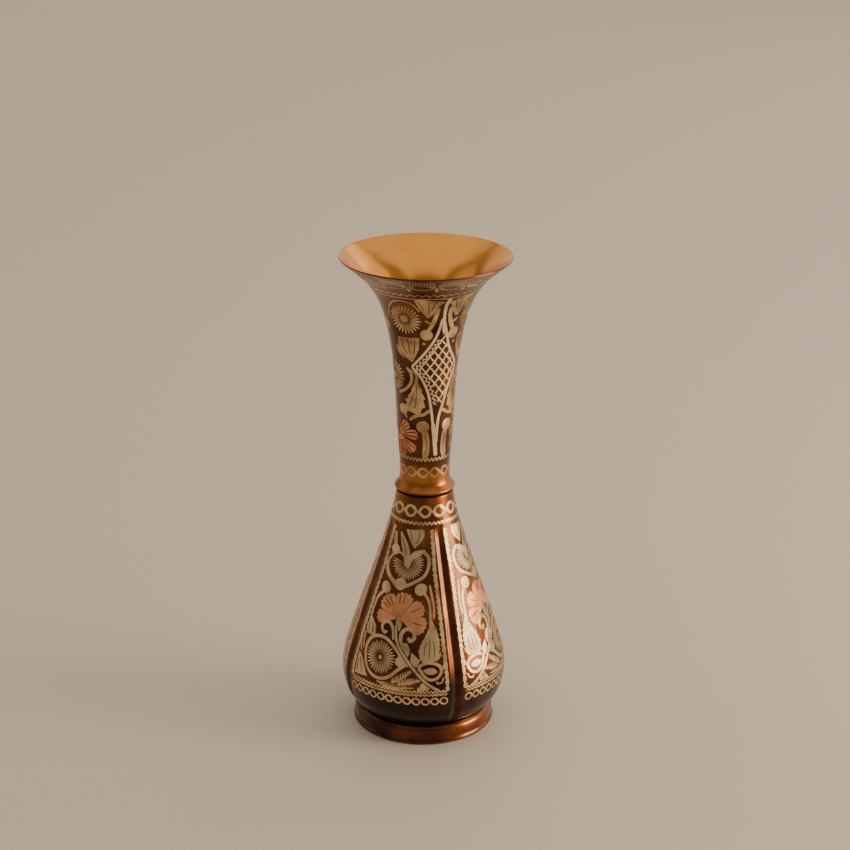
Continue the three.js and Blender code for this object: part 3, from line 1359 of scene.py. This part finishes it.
    def ferns(self, drawing: Drawing) -> None:
        """Draws the combed leaves at the bottom of a panel."""
        cut = drawing.cuts
        upper = [(-1.5, 36), (2.5, 38), (6, 40.6), (8.6, 43)]
        lower = [(2, 35.4), (6, 36.4), (10, 37.6), (13.4, 38.4)]
        for spine, reach in itertools.product((upper, lower), (2.7, -1.8)):
            cut.comb(spine, 8, reach, 58, 0.72)
        widths = ([0.3, 1.6, 1.5, 0.8, 0.2], [0.2, 1.0, 1.1, 0.6, 0.2])
        cut.leaf([(-10, 34.9), (-1, 33.4), (10.6, 34.4)], *widths)
        drawing.vein((-6, 34.6), (0, 34.3), (5, 34.6), width=0.4)


@dataclass
class Neck:
    """The long neck with its trumpet mouth, and the flowers engraved on it.

    Drawn points are distances across from the middle of the front, and distances up the metal from the waist.
    The engraving repeats after half a turn, and it is mirrored about a lattice that stands near 45 degrees.
    """

    sheet: float = 0.8
    segments: int = 192
    drawn_turn_degrees: float = -1.2
    rings: int = 13
    ring_arc: float = 13.2
    ring_turn_degrees: float = -10.5
    wave_depth: float = 1.7
    line_arc: float = 111.0
    line_parts: int = 12
    scallop_count: int = 16
    scallop_arc: float = 121.0
    scallop_turn_degrees: float = -4.15
    points: Outline = (
        (14.2, 0.0), (14.9, 0.6), (15.4, 1.5), (14.3, 3.0), (13.0, 5.3),
        (12.6, 9.6), (12.9, 18.1), (13.9, 33.1), (15.0, 51.1), (16.3, 68.1),
        (18.7, 83.1), (22.6, 97.1), (28.4, 107.3), (35.4, 114.6), (42.6, 120.5),
    )

    @cached_property
    def surface(self) -> TurnedSurface:
        """The neck's outside."""
        return TurnedSurface(self.points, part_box("trumpet_neck")[0].z / MM)

    def build(self) -> None:
        """Makes the spun shell."""
        mesh = turned_piece(sheet_section(self.surface.outline, self.sheet), self.segments)
        for face in mesh.faces:
            middle = face.calc_center_median()
            face.material_index = int(face.normal.x * middle.x + face.normal.y * middle.y < 0)
        finish_piece(mesh, "spun_neck", [Finish.LACQUER, Finish.BARE], ["trumpet_neck"])

    def dress(self) -> None:
        """Engraves the neck."""
        turn = math.radians(self.drawn_turn_degrees)
        mirror = math.pi / 2 + turn
        for half in range(2):
            around_half = math.pi * half
            flowers = Drawing()
            self.upper_flowers(flowers)
            self.lower_flowers(flowers)
            places = [(turn + around_half, 1), (mirror + around_half, -1)]
            flowers.lay_on(self.surface, places, f"neck_flowers_{half + 1}")
            # The lattice is cut in the painted-highlight copy of the cut finish.
            middle = Drawing(cut_finish=Finish.PAINTED_HIGHLIGHT_CUT)
            self.lattice(middle)
            middle.lay_on(self.surface, [(turn + around_half, 1)], f"neck_lattice_{half + 1}")
            seam = Drawing()
            self.seam_flowers(seam)
            seam.lay_on(self.surface, [(turn - math.pi / 4 + around_half, 1)], f"neck_seam_{half + 1}")
        self.bands()

    def bands(self) -> None:
        """Engraves the rings and wriggled lines at the foot of the neck, and the border under the rim."""
        chain, arc = Stencil(), self.ring_arc
        pitch = math.tau * self.surface.radius_at(arc) / self.rings
        chain.scroll_chain(0.0, pitch, 2, arc, 2.3, 1.15)
        places = around(self.rings, math.radians(self.ring_turn_degrees))
        chain.piece(self.surface, places, "neck_rings", Finish.CUT)
        for name, arc, count, width in (("foot", 20.2, 40, 0.75), ("top", 113.6, 50, 1.0)):
            wave = Stencil()
            half = math.pi * self.surface.radius_at(arc) / count
            low, high = arc - self.wave_depth / 2, arc + self.wave_depth / 2
            wave.stroke([(-half, low), (0, high), (half, low)], width, (1.0, 1.0))
            wave.piece(self.surface, around(count), f"neck_{name}_wriggle", Finish.CUT)
        line, arc, count = Stencil(), self.line_arc, self.line_parts
        half = math.pi * self.surface.radius_at(arc) / count
        line.stroke([(-half, arc), (half, arc)], 0.8, (1.0, 1.0), steps=16)
        line.piece(self.surface, around(count), "neck_top_line", Finish.CUT)
        self.scallops()

    def scallops(self) -> None:
        """Engraves the hatched scallops under the rim, with a drop below each point."""
        scallop = Stencil()
        half = math.pi * self.surface.radius_at(self.scallop_arc) / self.scallop_count
        edge = [(-half * 0.96, 125.6), (-half * 0.78, 122), (-half * 0.5, 120.2), (0, 119.7)]
        edge += [(-x, y) for x, y in reversed(edge[:-1])]
        scallop.stroke(edge, 1.1, (0.6, 0.6))
        for step in range(-4, 5):
            across = half * step / 5
            low = 124.6 if abs(step) < 3 else 122.2
            scallop.stroke([(across, low), (across * 1.03, 128.4)], 0.85, (0.6, 0.9), steps=4)
        scallop.stroke([(-half * 0.8, 123.2), (0, 123.8), (half * 0.8, 123.2)], 0.6)
        scallop.leaf([(half, 117.6), (half, 119.4), (half, 122.6)], [0.4, 1.0, 1.0, 0.6, 0.1])
        places = around(self.scallop_count, math.radians(self.scallop_turn_degrees))
        scallop.piece(self.surface, places, "rim_scallops", Finish.CUT)

    def lattice(self, drawing: Drawing) -> None:
        """Draws the tall four-pointed lattice and its two stems."""
        cut = drawing.cuts
        left = [(10, 30), (9.3, 42), (8.5, 50), (7.3, 57), (4.2, 64.5), (-0.4, 70.2)]
        left += [(4, 75), (8.5, 80.5), (12.4, 86), (15.2, 92), (17, 97)]
        right = [(11.1, 30), (12.3, 42), (15, 50), (17.5, 57), (21.2, 64.5), (24.4, 70.2)]
        right += [(21.8, 75), (19.6, 80.5), (18.7, 86), (18.2, 92), (17.9, 97)]
        for edge, width in ((left, 1.25), (right, 1.4)):
            cut.stroke(edge[:6], width, (1.0, 0.4))
            cut.stroke(edge[5:], width, (0.4, 1.0))
        cut.wriggle([(x + 2.2, y) for x, y in left[2:6]], 2.5, 1.6, 0.65)
        cut.wriggle([(x + 2.2, y - 0.6) for x, y in left[5:9]], 2.5, 1.6, 0.65)
        cut.stroke([(9.6, 40), (10.3, 30), (10.6, 22.4)], 2.1, (0.6, 0.8))
        cut.stroke([(17.4, 94), (18.8, 101), (20.8, 106.5), (24, 110.8)], 1.6, (1.0, 0.7))
        cut.leaf([(16.8, 88), (17.3, 92), (17.5, 97)], [0.3, 0.9, 0.5, 0.2])
        inside = [(x + 3.3, y) for x, y in left[1:-1]]
        cut.lattice(inside, [(x - 0.9, y) for x, y in right[1:-1]], (52, 126), 3.5, 0.8)

    def upper_flowers(self, drawing: Drawing) -> None:
        """Draws the flower, the cone-shaped leaf and the bud beside the top of the lattice."""
        cut = drawing.cuts
        cut.rosette((-2.3, 96.7), 2.6, 8.9, 26)
        cut.ball((-2.3, 96.7), 2.2)
        cut.stroke([(-12.6, 96), (-10.4, 103), (-5.6, 107.8), (-0.4, 108.4), (3.8, 106.4), (6.4, 102)], 0.9)
        cut.leaf([(9.8, 98.2), (11, 104), (12.2, 110)], [0.7, 2.8, 4.8, 6.2, 7.2], [0.7, 2.6, 4.0, 5.6, 8.0])
        cut.stroke([(9.2, 90.6), (12.4, 95.6), (16.2, 104.2)], 2.1, (0.8, 0.6))
        cut.stroke([(8.2, 96.4), (12.4, 93.6)], 1.3, (0.5, 0.5))
        cut.ball((8.1, 88.2), 3.1)
        cut.ball((6.5, 83.2), 0.8)
        cut.leaf([(0, 73), (-1.2, 79), (-1.8, 86)], [0.5, 3.6, 6.6, 6.2, 5.6], [0.5, 3.0, 5.0, 5.7, 6.1])
        cut.stroke([(-9.2, 80.5), (-7.2, 76.6), (-4, 74.6)], 1.1)
        drawing.vein((8.6, 101.5), (7.8, 105.5), (6.8, 109))
        drawing.vein((10.6, 101), (11.4, 105), (12.2, 109))
        drawing.vein((12.2, 102.2), (14, 105.8), (16.2, 109))
        for foot, top in ((-4.6, -5.6), (-1.4, -1.8), (1.6, 1.9)):
            drawing.vein((foot * 0.5, 76.8), (foot, 80.4), (top, 85.4))

    def lower_flowers(self, drawing: Drawing) -> None:
        """Draws the toothed leaf, the buds and the stems beside the foot of the lattice."""
        cut = drawing.cuts
        widths = ([4.2, 6.2, 3.8, 1.5, 0.1], [4.4, 5.6, 4.2, 2.0, 0.2])
        cut.leaf([(-1, 45.6), (1.2, 53), (1.6, 66)], *widths, 5, 0.3)
        cut.stroke([(-2.4, 41.4), (1, 43.9), (5, 45), (7.2, 46.6), (8.6, 47)], 1.7, (0.7, 0.7))
        cut.ball((4.4, 38.3), 3.2)
        cut.stroke([(5.2, 36.4), (6, 31), (5.8, 26), (5, 21.4)], 3.3, (0.8, 0.7))
        cut.ball((-6.2, 46.6), 2.9)
        cut.stroke([(-5.6, 44.6), (-3.8, 42.2)], 1.5, (1.0, 0.5))
        cut.stroke([(-3.4, 69.4), (-0.9, 66.2), (-1.2, 61.5), (-4.4, 57.6), (-9.4, 54.6)], 1.6)
        cut.stroke([(-1.6, 68.6), (1.4, 66.4), (2.6, 63.4)], 0.7)
        drawing.vein((5.6, 34), (6.1, 30), (5.9, 26), (5.2, 22.6), width=0.3)
        drawing.vein((0.6, 48), (1.4, 53), (1.6, 60))
        drawing.vein((-2.6, 49), (-1, 52.5), (0.4, 56.5))

    def seam_flowers(self, drawing: Drawing) -> None:
        """Draws the two flowers between the mirrored halves: a pale round one over a hanging copper one."""
        drawing.cuts.rosette((0, 63.6), 2.4, 8.0, 24)
        drawing.cuts.ball((0, 63.6), 2.0)
        hub = Vector((0, 33.2))
        for high, low, reach in ((58, 22, 10.5), (18, -13, 13.0), (-24, -54, 13.8), (-58, -88, 12.6)):
            drawing.copper.fan(hub, 1.5, reach, (high, low), 4)
            drawing.copper.fan(hub, 1.5, reach, (180 - low, 180 - high), 4)
            for turn in (high * 0.7 + low * 0.3, high * 0.3 + low * 0.7):
                for way in (heading(180 - turn), heading(turn)):
                    drawing.vein(hub + way * reach * 0.35, hub + way * reach * 0.92, width=0.5)
        drawing.cuts.leaf([(0, 88), (0, 91), (0, 95.6)], [0.4, 2.2, 2.6, 1.6, 0.2])


# ----------------------------------------------------------------------------------------
# The studio
# ----------------------------------------------------------------------------------------


@dataclass(frozen=True)
class Studio:
    """A pale floor, soft lights and a camera."""

    eye_distance: float = 0.9982
    eye_height: float = 0.5309
    eye_turn_degrees: float = 21.3
    pitch_degrees: float = 20.295
    roll_degrees: float = 0.35
    lens_mm: float = 89.65
    lit_height: float = 0.12
    floor_half: float = 3.0
    floor_shade: str = "#dccdbb"
    room_shade: str = "#e6dccf"
    room_strength: float = 0.33

    def build(self) -> None:
        """Sets the scene up."""
        self.camera()
        self.floor()
        self.lights()

    def camera(self) -> None:
        """Adds the camera."""
        data = bpy.data.cameras.new("camera")
        data.sensor_width = 36.0
        data.lens = self.lens_mm
        eye = bpy.data.objects.new("camera", data)
        bpy.context.scene.collection.objects.link(eye)
        turn = math.radians(self.eye_turn_degrees)
        place = Matrix.Translation(
            (self.eye_distance * math.sin(turn), -self.eye_distance * math.cos(turn), self.eye_height)
        )
        aim = Matrix.Rotation(turn, 4, "Z") @ Matrix.Rotation(math.radians(90 - self.pitch_degrees), 4, "X")
        eye.matrix_world = place @ aim @ Matrix.Rotation(math.radians(self.roll_degrees), 4, "Z")
        bpy.context.scene.camera = eye

    def floor(self) -> None:
        """Adds the pale floor."""
        mesh = bmesh.new()
        bmesh.ops.create_grid(mesh, x_segments=2, y_segments=2, size=self.floor_half)
        data = bpy.data.meshes.new("floor")
        mesh.to_mesh(data)
        mesh.free()
        surface = Surface("pale_floor")
        surface.shader.inputs["Base Color"].default_value = linear(self.floor_shade)
        surface.shader.inputs["Roughness"].default_value = 0.6
        data.materials.append(surface.material)
        floor = bpy.data.objects.new("floor", data)
        bpy.context.scene.collection.objects.link(floor)

    def light(
        self,
        name: str,
        turn_degrees: float,
        height: float,
        distance: float,
        size: tuple[float, float],
        watts: float,
        shade: str,
    ) -> None:
        """Adds one soft light that looks at the vase.

        Args:
            name: The light's name.
            turn_degrees: Its angle round the vase, anticlockwise from the camera's side.
            height: Its height above the floor in metres.
            distance: Its distance from the vase's axis in metres.
            size: Its width and height in metres.
            watts: Its power.
            shade: Its sRGB hex colour.
        """
        data = bpy.data.lights.new(name, "AREA")
        data.shape = "RECTANGLE"
        data.size, data.size_y = size
        data.energy = watts
        data.color = linear(shade)[:3]
        lamp = bpy.data.objects.new(name, data)
        bpy.context.scene.collection.objects.link(lamp)
        turn = math.radians(self.eye_turn_degrees + turn_degrees)
        spot = Vector((distance * math.sin(turn), -distance * math.cos(turn), height))
        aim = (Vector((0, 0, self.lit_height)) - spot).to_track_quat("-Z", "Y")
        lamp.matrix_world = Matrix.Translation(spot) @ aim.to_matrix().to_4x4()

    def lights(self) -> None:
        """Adds a window-like key light on the right, a weak fill on the left, and a dim room."""
        self.light("window", 81.0, 0.42, 1.6, (0.8, 0.84), 27.0, "#fff0d6")
        self.light("right_wall", 125.0, 0.9, 2.2, (2.2, 1.8), 12.0, "#fff0dc")
        self.light("back_wall", 180.0, 1.2, 2.6, (4.0, 2.2), 16.0, "#fff0dc")
        self.light("left_wall", -100.0, 0.9, 2.0, (1.6, 1.6), 3.0, "#ffecd6")
        self.light("ceiling", 180.0, 2.5, 0.01, (4.0, 4.0), 33.0, "#fff6ec")
        world = bpy.data.worlds.new("room")
        world.use_nodes = True
        background = world.node_tree.nodes["Background"]
        background.inputs["Color"].default_value = linear(self.room_shade)
        background.inputs["Strength"].default_value = self.room_strength
        bpy.context.scene.world = world


def main() -> None:
    """Builds the vase and its studio."""
    logging.basicConfig(level=logging.INFO, format="%(name)s %(message)s")
    Studio().build()
    Foot().build()
    WaistJoint().build()
    body, neck = Body(), Neck()
    body.build()
    body.dress()
    neck.build()
    neck.dress()


if __name__ == "__main__":
    main()
